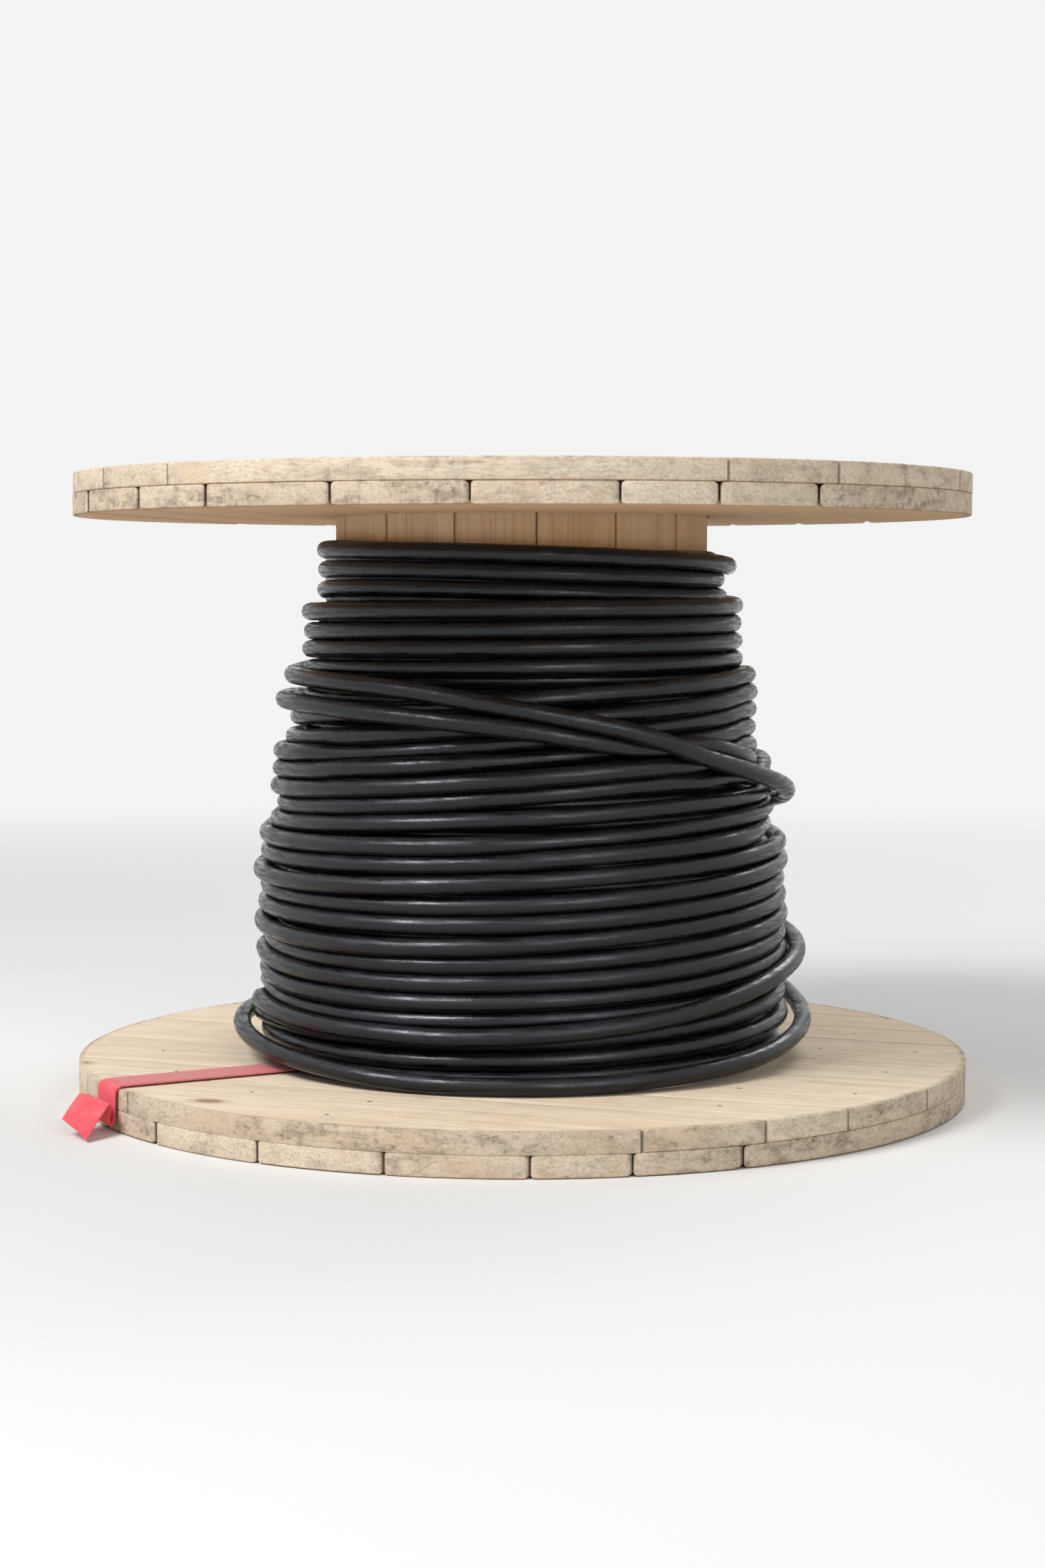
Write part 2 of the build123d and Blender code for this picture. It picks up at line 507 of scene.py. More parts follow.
def sawn_grain_group(name):
    """Growth rings, fibres and knots of sawn softwood, from a point's place in its board."""
    inputs = {
        "Grain": None,
        "Seed": 0.0,
        "Early": (0.7, 0.5, 0.3),
        "Late": (0.5, 0.3, 0.15),
        "Knot": (0.2, 0.1, 0.05),
        "Ring Width": 0.004,
        "Contrast": 0.7,
        "Knots": 1.0,
    }
    graph, entry = new_group(name, inputs)
    seed = entry["Seed"]
    _, across, through = graph.split(entry["Grain"])
    shift = graph.add("ShaderNodeCombineXYZ", {0: seed * 37.0, 1: seed * 11.0, 2: seed * 5.0})[0]

    def stretched(x, y, z):
        scaled = graph.vector("MULTIPLY", entry["Grain"], (x, y, z))
        return graph.vector("ADD", scaled, shift)

    inputs = {"Vector": stretched(4.2, 7.0, 0.0), "Scale": 1.0}
    cells = graph.add("ShaderNodeTexVoronoi", inputs, voronoi_dimensions="2D")
    chosen = graph.step(graph.split(cells["Color"])[0], 0.58, 0.60)
    from_knot = 1.0 - (1.0 - cells["Distance"]) * chosen
    knot = graph.step(from_knot, 0.075, 0.050) * entry["Knots"]
    knot_ring = graph.step(from_knot, 0.13, 0.07) * entry["Knots"]
    knot_pull = graph.step(from_knot, 0.34, 0.0, 0.0, 0.014)

    waver = (graph.noise(stretched(1.3, 5.0, 5.0), detail=2.0) - 0.5) * 0.030
    pith_aside = (graph.math("FRACT", seed * 7.3) - 0.5) * 0.10
    pith_below = graph.math("FRACT", seed * 13.7) * 0.05
    from_pith = graph.distance(across + pith_aside, through + pith_below + 0.018)
    rings = graph.math("DIVIDE", from_pith + waver + knot_pull, entry["Ring Width"])
    ring = graph.math("FRACT", rings)
    late = graph.step(ring, 0.35, 0.86) * graph.step(ring, 1.0, 0.88) * entry["Contrast"]

    fibre = graph.noise(stretched(7.0, 420.0, 420.0), detail=4.0, roughness=0.65)
    blotch = graph.noise(stretched(2.2, 26.0, 26.0), detail=4.0, roughness=0.6)
    fibre_colour = graph.mix(0.55, entry["Late"], entry["Knot"])
    colour = graph.mix(late, entry["Early"], entry["Late"])
    colour = graph.mix(graph.step(fibre, 0.46, 0.70, 0.0, 0.65), colour, fibre_colour)
    colour = graph.mix(graph.step(blotch, 0.48, 0.66, 0.0, 0.60), colour, entry["Late"])
    colour = graph.mix(knot_ring * 0.35, colour, entry["Knot"])
    colour = graph.mix(knot * 0.85, colour, entry["Knot"])
    return graph.put_out({"Colour": colour, "Height": late * -0.5 + fibre - knot * 0.3})


def weather_group(name):
    """Grey weathering in patches and fine checks, laid over a wood colour by a mask."""
    inputs = {"Colour": (0.7, 0.5, 0.3), "Grey": (0.35, 0.3, 0.25), "Place": None, "Mask": 1.0}
    graph, entry = new_group(name, inputs)
    place = entry["Place"]
    mask = entry["Mask"]
    area = graph.step(graph.mottle(place, 7.0, 15.0, 5.0, 0.6), 0.38, 0.62)
    patch = graph.step(graph.mottle(place, 34.0, 70.0, 5.0, 0.72), 0.40, 0.68)
    speck = graph.step(graph.mottle(place, 150.0, 210.0, 5.0, 0.7), 0.50, 0.66)
    stroke = graph.step(graph.mottle(place, 210.0, 26.0, 5.0, 0.6), 0.52, 0.70)
    patch = graph.math("MULTIPLY", patch * (area * 0.75 + 0.25), mask, clamp=True)
    fine = graph.math("MAXIMUM", speck, stroke * 0.5) * (patch * 0.60 + 0.16) * mask
    dark = graph.mix(0.45, entry["Grey"], (0.04, 0.03, 0.022))
    colour = graph.mix(mask * 0.27, entry["Colour"], entry["Grey"])
    colour = graph.mix(patch * 0.72, colour, entry["Grey"])
    colour = graph.mix(fine, colour, dark)
    return graph.put_out({"Colour": colour, "Height": (speck + stroke) * (mask * -0.5)})


def dust_group(name):
    """Dust on faces that look up and scuffs along the turns, as a mask from 0 to 1."""
    graph, entry = new_group(name, {"Place": None, "Normal": None, "Amount": 0.5})
    place = entry["Place"]
    upward = graph.split(entry["Normal"])[2]
    cloud = graph.mottle(place, 5.0, 30.0, 5.0, 0.6)
    streak = graph.mottle(place, 26.0, 420.0, 4.0, 0.65)
    speck = graph.mottle(place, 420.0, 420.0, 2.0)
    settled = graph.step(upward, -0.15, 0.9) * graph.step(cloud, 0.34, 0.70)
    scuff = graph.step(streak, 0.60, 0.76) * graph.step(cloud, 0.45, 0.62)
    mask = graph.math("MAXIMUM", settled, scuff * 0.75) * graph.step(speck, 0.25, 0.6, 0.55, 1.0)
    mask = graph.math("MULTIPLY", mask, entry["Amount"], clamp=True)
    return graph.put_out({"Mask": mask, "Height": speck, "Streak": streak})


def flange_material(colours, sizes):
    """Bleached boards, greyer at the rim, with painted shade, warmer and darker, on the faces that look
    down.
    """
    material, graph = new_material("Flange Wood")
    seed, half_width, tint = graph.split(graph.attribute("board"))
    coordinates = graph.add("ShaderNodeTexCoord")
    facing = graph.split(coordinates["Normal"])[2]
    x, y, _ = graph.split(coordinates["Object"])
    rim_edge = sizes.flange_radius - 0.003
    rim = graph.step(graph.distance(x, y), rim_edge - 0.007, rim_edge)
    grain = graph.attribute("grain")
    wood = graph.group("Sawn Grain", sawn_grain_group, {
        "Grain": grain,
        "Seed": seed,
        "Early": colours.pale_wood,
        "Late": colours.late_wood,
        "Knot": colours.knot,
        "Ring Width": 0.0052,
        "Contrast": 0.34,
        "Knots": 1.0 - rim * 0.75,
    })

    along, across, _ = graph.split(grain)
    to_edge = half_width - graph.math("ABSOLUTE", across)
    slant = graph.math("DIVIDE", sizes.flange_radius, graph.math("ABSOLUTE", along))
    joint = graph.step(to_edge * graph.math("MAXIMUM", rim * slant, 1.0), 0.0013, 0.0)
    # Painted shade: the faces that look down are mixed towards the warm wood and darkened with the knot
    # colour.
    painted_underside_shade = graph.step(facing, -0.2, -0.7)
    colour = graph.mix(tint * 0.26, wood["Colour"], colours.late_wood)
    colour = graph.mix(painted_underside_shade * 0.90, colour, colours.warm_wood)
    colour = graph.mix(painted_underside_shade * 0.22, colour, colours.knot)

    upper_face = graph.step(facing, 0.4, 0.9) * 0.22
    aged = graph.group("Weathering", weather_group, {
        "Colour": colour,
        "Grey": colours.grey_wood,
        "Place": coordinates["Object"],
        "Mask": graph.math("MAXIMUM", rim * (tint * 0.7 + 0.65), upper_face),
    })
    # The wood is darker near each board's sides, along the joints.
    dark_joint_colour = graph.mix(0.5, colours.grey_wood, (0.02, 0.014, 0.008))
    graph.surface({
        "Base Color": graph.mix(joint * 0.75, aged["Colour"], dark_joint_colour),
        "IOR": 1.4,
        "Roughness": graph.step(wood["Height"], 0.2, 0.9, 0.72, 0.92),
        "Normal": graph.bump(wood["Height"] + aged["Height"], 0.45, 0.0009),
    })
    return material


def stave_material(colours):
    """Unbleached staves with upright grain and dark joints."""
    material, graph = new_material("Stave Wood")
    seed, half_width, tint = graph.split(graph.attribute("board"))
    grain = graph.attribute("grain")
    wood = graph.group("Sawn Grain", sawn_grain_group, {
        "Grain": grain,
        "Seed": seed,
        "Early": graph.mix(tint * 0.6 + 0.35, colours.pale_wood, colours.warm_wood),
        "Late": colours.warm_wood,
        "Knot": (0.36, 0.19, 0.08),
        "Ring Width": 0.0085,
        "Contrast": 0.3,
    })
    to_edge = half_width - graph.math("ABSOLUTE", graph.split(grain)[1])
    joint = graph.step(to_edge, 0.003, 0.0)
    graph.surface({
        "Base Color": graph.mix(joint * 0.6, wood["Colour"], colours.knot),
        "IOR": 1.4,
        "Roughness": graph.step(wood["Height"], 0.2, 0.9, 0.65, 0.85),
        "Normal": graph.bump(wood["Height"], 0.3, 0.0006),
    })
    return material


def add_grime(graph, amount):
    """Dust and scuffs in a material."""
    coordinates = graph.add("ShaderNodeTexCoord")
    inputs = {"Place": coordinates["Object"], "Normal": coordinates["Normal"], "Amount": amount}
    return graph.group("Dust and Scuffs", dust_group, inputs)


def cable_material(colours):
    """Semi-matt black jacket, dusty on top of the turns and scuffed along them, with a painted bluish
    tint in its reflections.
    """
    material, graph = new_material("Cable Jacket")
    grime = add_grime(graph, 0.55)
    worn = graph.step(grime["Streak"], 0.40, 0.60, 0.17, 0.46)
    graph.surface({
        "Base Color": graph.mix(grime["Mask"], colours.jacket, colours.dust),
        "Specular IOR Level": 0.44,
        # Painted reflection colour: the bluish specular tint stands in for a sky colour; the lamps are
        # white.
        "Specular Tint": (0.90, 0.94, 1.0),
        "Roughness": worn + grime["Mask"] * 0.18,
        "Normal": graph.bump(grime["Streak"] * 1.5 + grime["Height"], 0.25, 0.0006),
    })
    return material


def zinc_material(colours):
    """Dull zinc plating with stains."""
    material, graph = new_material("Bolt Zinc")
    grime = add_grime(graph, 0.8)
    stain = graph.noise(graph.place(), scale=160.0, detail=4.0)
    stained = graph.step(stain, 0.5, 0.75, 0.0, 0.6)
    graph.surface({
        "Base Color": graph.mix(stained, colours.zinc, (0.22, 0.16, 0.11)),
        "Metallic": 0.9,
        "Roughness": graph.step(grime["Mask"], 0.0, 0.8, 0.42, 0.65),
        "Normal": graph.bump(stain, 0.15, 0.0002),
    })
    return material


def nail_material(colours):
    """Dull steel, browned by the weather."""
    material, graph = new_material("Nail Steel")
    browned = graph.step(graph.noise(graph.place(), scale=90.0), 0.35, 0.6)
    colour = graph.mix(browned, colours.nail, (0.16, 0.09, 0.05))
    graph.surface({"Base Color": colour, "Metallic": 0.5, "Roughness": 0.6})
    return material


def strap_material(colours):
    """Woven red webbing, dusty and faded where it lies flat, with painted shade in the weave's hollows.
    """
    material, graph = new_material("Strap Webbing")
    along, across, fading = graph.split(graph.attribute("weave"))
    warp = graph.math("SINE", across * (tau / 0.0018))
    weft = graph.math("SINE", along * (tau / 0.0024))
    twill = graph.math("SINE", (across + along) * (tau / 0.0030))
    height = warp * weft + twill * 0.6
    cloud = graph.noise(graph.place(), scale=70.0, detail=4.0)
    dusty = graph.step(cloud, 0.4, 0.8, -0.1, 0.3)
    worn = graph.math("ADD", fading * 0.75, dusty, clamp=True)
    colour = graph.mix(worn, colours.strap, colours.strap_faded)
    # Painted shade: the weave's low places are darkened.
    hollow_shade = graph.step(height, -0.2, -1.2, 0.0, 0.35)
    graph.surface({
        "Base Color": graph.mix(hollow_shade, colour, (0.25, 0.015, 0.02)),
        "Sheen Weight": 0.25,
        "Sheen Roughness": 0.5,
        "Roughness": graph.step(cloud, 0.3, 0.8, 0.6, 0.85),
        "Normal": graph.bump(height, 0.5, 0.0004),
    })
    return material


# Flange boards


class BoardPlan:
    """Where a board's sides, faces and rim are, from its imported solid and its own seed."""

    def __init__(self, ply, number, sizes):
        turn = sizes.lower_turn if ply.startswith("lower") else sizes.upper_turn
        shows_above = ply in ("lower_inner", "upper_outer")
        self.along, self.across = directions(turn if shows_above else turn - pi / 2)
        self.node = f"{ply}_board_{number}"
        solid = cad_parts[self.node].data
        places = [vertex.co.dot(self.across) for vertex in solid.vertices]
        self.low_side = min(places)
        self.high_side = max(places)
        low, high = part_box(self.node)
        random = Random(f"{self.node} board")
        sag = random.uniform(0.15, 1.0) * sizes.board_sag
        self.base = low.z if shows_above else low.z + sag
        self.top = high.z - sag if shows_above else high.z
        self.radius = sizes.flange_radius - random.uniform(0.0, 1.0) * sizes.rim_waver
        self.ease = sizes.edge_ease * random.uniform(0.7, 1.1) * (0.45 if shows_above else 1.0)
        self.seed = random.uniform(0.1, 9.0)
        self.tint = random.random()

    def stock_sides(self, sizes):
        """The sides that the board had before the flange was sawn round."""
        at_rim = self.radius - 0.01
        low = self.high_side - sizes.rim_stock if self.low_side < -at_rim else self.low_side
        high = low + sizes.rim_stock if self.high_side > at_rim else self.high_side
        return low, high


def ply_plans(ply, sizes):
    """The plans of one ply's boards."""
    return [BoardPlan(ply, number, sizes) for number in range(1, BOARDS_IN_PLY + 1)]


def bolt_drills(radius, low, high, sizes, vertices):
    """Cylinders on the bolt circle, joined, to drill with."""
    drills = []
    for number in range(BOLTS):
        out, _ = directions(sizes.bolt_turn + tau / BOLTS * number)
        drills.append(cylinder(radius, low, high, vertices, out * sizes.bolt_circle))
    return join(drills)


def ply_cutters(ply, sizes):
    """Drills for a ply, each with the distance from the axis that it reaches."""
    over = 0.002
    clearance = 0.0005
    box_low, box_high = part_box(f"{ply}_board_5")
    low = box_low.z
    high = box_high.z
    holes = bolt_drills(sizes.bolt_hole_radius, low - over, high + over, sizes, 24)
    arbor = cylinder(sizes.arbor_radius, low - over, high + over, 72)
    cutters = [(join([arbor, holes]), sizes.bolt_circle + sizes.bolt_hole_radius)]
    if ply.endswith("outer"):
        ends = sizes.nut_height if ply == "lower_outer" else sizes.head_height
        depth = sizes.washer_thickness + sizes.recess_cover + ends
    else:
        depth = sizes.groove_depth
    from_below = ply in ("lower_outer", "upper_inner")
    start = low - over if from_below else high - depth
    stop = low + depth if from_below else high + over
    if ply.endswith("outer"):
        recess = bolt_drills(sizes.recess_radius, start, stop, sizes, 56)
        cutters.append((recess, sizes.bolt_circle + sizes.recess_radius))
    else:
        outer = hypot(sizes.stave_apothem, sizes.stave_width / 2) + clearance
        inner = sizes.stave_apothem - sizes.stave_thickness - clearance
        groove = cylinder(outer, start, stop, 120)
        carve(groove, cylinder(inner, start - over, stop + over, 120))
        cutters.append((groove, outer))
    return cutters


def saw_board(plan, sizes):
    """One board: a slice of the flange's disc with rounded long edges and an eased rim."""
    narrowest = 0.004
    sliver = 0.0095
    on_plane = 0.00015
    end_share = 0.15
    board = cylinder(plan.radius, plan.base, plan.top, 200)
    sides = [
        (side, sign)
        for side, sign in ((plan.low_side, -1), (plan.high_side, 1))
        if abs(side) < plan.radius - narrowest
    ]

    def corner_gap(point):
        gaps = []
        for side, _ in sides:
            reach = (plan.radius**2 - side**2) ** 0.5
            out_of_reach = abs(point.dot(plan.along)) - reach
            gaps.append(hypot(out_of_reach, point.dot(plan.across) - side))
        return min(gaps)

    def on_side(edge):
        return any(
            all(abs(vertex.co.dot(plan.across) - side) < on_plane for vertex in edge.verts)
            for side, _ in sides
        )

    def by_corner(edge):
        return upright(edge) and not on_side(edge) and corner_gap(edge.verts[0].co) < sliver

    eases = (
        (1.0, lambda edge: on_side(edge) and not upright(edge)),
        (end_share, lambda edge: on_side(edge) and upright(edge)),
        (sizes.rim_ease / plan.ease, lambda edge: not on_side(edge) and not upright(edge)),
    )
    with editing(board):
        for side, sign in sides:
            bpy.ops.mesh.select_all(action="SELECT")
            bpy.ops.mesh.bisect(
                plane_co=plan.across * side,
                plane_no=plan.across * sign,
                use_fill=True,
                clear_outer=True,
            )
        if select_where(board, "edges", by_corner):
            bpy.ops.mesh.dissolve_edges(use_verts=True)
        for share, test in eases:
            select_where(board, "edges", test)
            bpy.ops.transform.edge_bevelweight(value=share)
    apply_modifier(board, "BEVEL", limit_method="WEIGHT", width=plan.ease, segments=3)
    return board


class CABLEDRUM_OT_flange_boards(bpy.types.Operator):
    """Saw the boards of the four plies, ease their edges and drill them"""

    bl_idname = "cable_drum.flange_boards"
    bl_label = "Flange Boards"

    def execute(self, context):
        settings = context.scene.cable_drum
        sizes = settings.drum
        material = flange_material(settings.colours, sizes)
        for ply in PLIES:
            cutters = ply_cutters(ply, sizes)
            for plan in ply_plans(ply, sizes):
                board = saw_board(plan, sizes)
                nearest = max(0.0, plan.low_side, -plan.high_side)
                for cutter, reach in cutters:
                    if nearest < reach:
                        carve(board, cutter, keep_tool=True)
                shade(board, 32)
                low, high = plan.stock_sides(sizes)
                middle = plan.across * (low + high) / 2
                middle.z = (plan.base + plan.top) / 2
                half_width = (high - low) / 2
                mark_grain(
                    board, plan.along, plan.across, middle, half_width, plan.seed, plan.tint
                )
                dress(board, f"{plan.node}_sawn", "flange_wood", material, plan.node)
            for cutter, _ in cutters:
                bpy.data.objects.remove(cutter)
        return {"FINISHED"}


class CABLEDRUM_OT_flange_nails(bpy.types.Operator):
    """Drive nails where the boards of the outer faces cross the boards behind them"""

    bl_idname = "cable_drum.flange_nails"
    bl_label = "Flange Nails"

    def execute(self, context):
        settings = context.scene.cable_drum
        sizes = settings.drum
        material = nail_material(settings.colours)
        half_height = 0.00045
        sunk = 0.0004
        missed = 0.3
        scatter_across = 0.014
        scatter_along = 0.018
        clear_of_recess = 0.012
        clear_of_rim = 0.03
        faces = (("lower_inner", "lower_outer", 0.34), ("upper_outer", "upper_inner", 0.05))
        for ply, behind, nearest in faces:
            random = Random(f"{ply} nails")
            pattern = cylinder(sizes.nail_radius, -half_height, half_height, 12)
            with editing(pattern):
                select_where(pattern, "faces", lambda face: face.normal.z > 0.9)
                bpy.ops.mesh.bevel(offset=0.0004, segments=1)
            nails = []
            backing = ply_plans(behind, sizes)
            for board in ply_plans(ply, sizes):
                for other in backing:
                    across = (board.low_side + board.high_side) / 2
                    along = (other.low_side + other.high_side) / 2
                    across += random.uniform(-scatter_across, scatter_across)
                    along += random.uniform(-scatter_along, scatter_along)
                    place = board.across * across + other.across * along
                    from_bolts = abs(place.length - sizes.bolt_circle)
                    near_bolt = from_bolts < sizes.recess_radius + clear_of_recess
                    on_board = nearest < place.length < sizes.flange_radius - clear_of_rim
                    if random.random() < missed or near_bolt or not on_board:
                        continue
                    place.z = board.top - sunk
                    nails.append(copy_at(pattern, Matrix.Translation(place)))
            bpy.data.objects.remove(pattern)
            dress(join(nails), f"{ply}_nails", "bolt_steel", material)
        return {"FINISHED"}


# Barrel


class CABLEDRUM_OT_staves(bpy.types.Operator):
    """Shape the barrel's staves with bevelled sides and eased edges"""

    bl_idname = "cable_drum.staves"
    bl_label = "Barrel Staves"

    def execute(self, context):
        settings = context.scene.cable_drum
        sizes = settings.drum
        material = stave_material(settings.colours)
        distance = sizes.stave_apothem - sizes.stave_thickness / 2
        rise = Vector((0, 0, (stave_low.z + stave_high.z) / 2))
        size = (sizes.stave_thickness, sizes.stave_width, stave_high.z - stave_low.z)
        inner_share = 1 - 2 * sizes.stave_thickness * tan(pi / STAVES) / sizes.stave_width
        stave = block(size, (distance, 0, rise.z))
        with editing(stave):
            select_where(stave, "faces", lambda face: face.normal.x < -0.9)
            bpy.ops.transform.resize(value=(1, inner_share, 1), center_override=(0, 0, 0))
            select_where(stave, "edges", upright)
            bpy.ops.mesh.bevel(offset=0.0012, segments=2)
        shade(stave)
        for number in range(1, STAVES + 1):
            angle = sizes.stave_turn + tau / STAVES * (number - 1)
            copy = copy_at(stave, Matrix.Rotation(angle, 4, "Z"))
            random = Random(f"stave {number}")
            out, side = directions(angle)
            seed = random.uniform(0.1, 9.0)
            tint = random.uniform(0.1, 0.8)
            middle = out * distance + rise
            mark_grain(copy, Vector((0, 0, 1)), side, middle, sizes.stave_width / 2, seed, tint)
            dress(copy, f"stave_{number}_planed", "stave_wood", material, f"stave_{number}")
        bpy.data.objects.remove(stave)
        return {"FINISHED"}


# Tie bolts


def hex_prism(flats, low, high, place):
    """A six-sided head or nut with its upper corners turned off."""
    flare = 0.006
    top_share = 0.96
    prism = cylinder(flats / 2 / cos(pi / 6), low, high, 6, place)
    deselect()
    bpy.ops.mesh.primitive_cone_add(
        vertices=36,
        radius1=flats / 2 + flare,
        radius2=flats / 2 * top_share,
        depth=high - low,
        location=(place.x, place.y, (low + high) / 2),
    )
    carve(prism, bpy.context.object, "INTERSECT")
    return prism


def square_washer(low, place, sizes):
    """A square washer that lies at a height and is turned as its bolt is."""
    drill_reach = 0.01
    thickness = sizes.washer_thickness
    size = (sizes.washer_width, sizes.washer_width, thickness)
    washer = block(size, (place.x, place.y, low + thickness / 2))
    with editing(washer):
        bpy.ops.transform.rotate(value=-sizes.bolt_turn, orient_axis="Z", center_override=place)
        bpy.ops.mesh.select_all(action="SELECT")
        bpy.ops.mesh.bevel(offset=0.0006, segments=2)
    drill = cylinder(sizes.bolt_hole_radius, low - drill_reach, low + drill_reach, 32, place)
    carve(washer, drill)
    return washer


class CABLEDRUM_OT_tie_bolts(bpy.types.Operator):
    """Make the tie bolts with their nuts and square washers"""

    bl_idname = "cable_drum.tie_bolts"
    bl_label = "Tie Bolts"

    def execute(self, context):
        settings = context.scene.cable_drum
        sizes = settings.drum
        material = zinc_material(settings.colours)
        in_head = 0.001
        clearance = 0.00015
        drill_reach = 0.05
        head_low = bolts_high.z - sizes.head_height
        nut_low = bolts_low.z
        nut_high = nut_low + sizes.nut_height
        first = directions(sizes.bolt_turn)[0] * sizes.bolt_circle
        shank = cylinder(sizes.bolt_radius, nut_low, head_low + in_head, 32, first)
        with editing(shank):
            select_where(shank, "faces", lambda face: face.normal.z < -0.9)
            bpy.ops.mesh.bevel(offset=0.001, segments=1)
        head = hex_prism(sizes.head_flats, head_low, bolts_high.z, first)
        nut = hex_prism(sizes.head_flats, nut_low, nut_high, first)
        bore = sizes.bolt_radius + clearance
        carve(nut, cylinder(bore, nut_low - drill_reach, nut_low + drill_reach, 32, first))
        parts = {
            "tie_bolts": [join([head, shank])],
            "tie_bolt_nuts": [nut],
            "tie_bolt_washers": [
                square_washer(low, first, sizes)
                for low in (nut_high, head_low - sizes.washer_thickness)
            ],
        }
        for node, first_ones in parts.items():
            pieces = list(first_ones)
            for number in range(1, BOLTS):
                turn = Matrix.Rotation(tau / BOLTS * number, 4, "Z")
                pieces += [copy_at(piece, turn) for piece in first_ones]
            piece = join(pieces)
            shade(piece)
            dress(piece, f"{node}_plated", "bolt_steel", material, node)
        return {"FINISHED"}


# Cable

# The loose stretches, laid over the wound turns in this order. Each has its looseness, and
# points of angle from the front in degrees, distance from the axis and height.
LOOSE_STRANDS = {
    "crossing": (0.6, (
        (-195, 0.224, 0.496), (-165, 0.232, 0.494), (-130, 0.250, 0.487),
        (-95, 0.2605, 0.481), (-60, 0.268, 0.479), (-30, 0.2755, 0.472),
        (-3, 0.281, 0.451), (17, 0.285, 0.429), (39, 0.290, 0.398),
        (66, 0.298, 0.366), (84, 0.304, 0.349), (94, 0.303, 0.336),
        (112, 0.295, 0.327), (135, 0.280, 0.326), (160, 0.258, 0.326),
    )),
    "foot": (3.0, (
        (-205, 0.270, 0.098), (-170, 0.300, 0.094), (-130, 0.318, 0.090),
        (-88, 0.323, 0.086), (-60, 0.3235, 0.072), (-25, 0.320, 0.058),
        (15, 0.319, 0.058), (50, 0.321, 0.067), (88, 0.323, 0.090),
        (120, 0.322, 0.118), (160, 0.318, 0.165), (200, 0.314, 0.215),
        (232, 0.303, 0.256), (258, 0.289, 0.282), (282, 0.275, 0.293),
        (300, 0.268, 0.296),
    )),
    "steep": (0.8, (
        (-140, 0.270, 0.130), (-115, 0.281, 0.130), (-92, 0.292, 0.124),
        (-55, 0.297, 0.106), (-15, 0.301, 0.101), (15, 0.306, 0.112),
        (45, 0.3115, 0.135), (70, 0.314, 0.158), (92, 0.315, 0.174),
        (118, 0.309, 0.186), (150, 0.290, 0.196), (175, 0.272, 0.200),
    )),
    "beneath": (0.8, (
        (-200, 0.240, 0.440), (-170, 0.248, 0.443), (-130, 0.266, 0.450),
        (-95, 0.272, 0.453), (-60, 0.275, 0.451), (-30, 0.279, 0.443),
        (0, 0.284, 0.429), (20, 0.286, 0.416), (38, 0.284, 0.404),
        (55, 0.276, 0.394), (74, 0.260, 0.387), (92, 0.238, 0.382),
        (106, 0.228, 0.380),
    )),
}


class Strand:
    """A stretch of cable round the axis: angle, distance and height, one for each sample."""

    def __init__(self, first_sample, radius, height, rest, looseness):
        self.samples = first_sample + np.arange(len(radius))
        self.radius = np.array(radius, float)
        self.height = np.array(height, float)
        self.aim_radius = self.radius.copy()
        self.aim_height = self.height.copy()
        self.rest = np.array(rest, float)
        self.looseness = np.full(len(radius), looseness)
        self.slack = np.full(len(radius), 0.003 if looseness == 1 else 0.03)


def layer_radius(height, cable):
    """Distance from the axis of the outermost layer's middle at heights above the flange."""
    tops = np.array(cable.layer_turns) * cable.pitch
    layers = np.clip(np.sum(height[:, None] < tops[None, :], axis=1), 1, None)
    rise = cable.diameter * sin(pi / 3)
    return cable.bore + cable.diameter / 2 + rise * (layers - 1)


def smooth(values, width):
    """A running mean that keeps the ends."""
    padded = np.pad(values, width, mode="edge")
    kernel = np.hanning(2 * width + 1)
    return np.convolve(padded, kernel / kernel.sum(), mode="same")[width:-width]


def settle(strands, cable, floor):
    """Push passes of the cable apart until none lies in another, as they settle on a drum."""
    rounds = 320
    free_rounds = 11
    columns = [[] for _ in range(cable.samples)]
    starts = np.cumsum([0] + [len(strand.radius) for strand in strands])
    for strand, start in zip(strands, starts):
        for index, sample in enumerate(strand.samples):
            columns[sample % cable.samples].append(start + index)
    most = max(len(column) for column in columns)
    empty = starts[-1]
    table = np.full((cable.samples, most), empty)
    for number, column in enumerate(columns):
        table[number, : len(column)] = column

    def end_to_end(name, last=0.0):
        return np.append(np.concatenate([getattr(strand, name) for strand in strands]), last)

    radius = end_to_end("radius")
    height = end_to_end("height")
    rest = end_to_end("rest")
    reach = end_to_end("aim_radius") + end_to_end("slack")
    loose = end_to_end("looseness", 1.0)
    yielding = np.where(loose == 1, 0.3, 1.0)
    real = table != empty
    pairs = real[:, :, None] & real[:, None, :] & ~np.eye(most, dtype=bool)
    share = loose[table][:, :, None] / (loose[table][:, :, None] + loose[table][:, None, :])
    parts = [slice(start, stop) for start, stop in zip(starts, starts[1:])]
    for number in range(rounds):
        across = radius[table][:, :, None] - radius[table][:, None, :]
        upward = height[table][:, :, None] - height[table][:, None, :]
        gap = np.sqrt(across**2 + upward**2) + 1e-9
        overlap = np.where(pairs, np.clip(cable.diameter * 1.004 - gap, 0, None), 0)
        push = overlap / gap * share * 0.8
        move_radius = np.zeros_like(radius)
        move_height = np.zeros_like(height)
        np.add.at(move_radius, table, (push * across).sum(axis=2))
        np.add.at(move_height, table, (push * upward).sum(axis=2))
        move_radius[empty] = 0
        move_height[empty] = 0
        radius += move_radius * yielding
        height += move_height
        if number < rounds - free_rounds:
            for strand, part in zip(strands, parts):
                draw_back(radius, part, strand.aim_radius, 0.05)
                draw_back(height, part, strand.aim_height, 0.04)
        radius = np.clip(radius, rest, reach)
        height[:-1] = np.maximum(height[:-1], floor + cable.diameter / 2)
    for strand, part in zip(strands, parts):
        strand.radius = radius[part].copy()
        strand.height = height[part].copy()


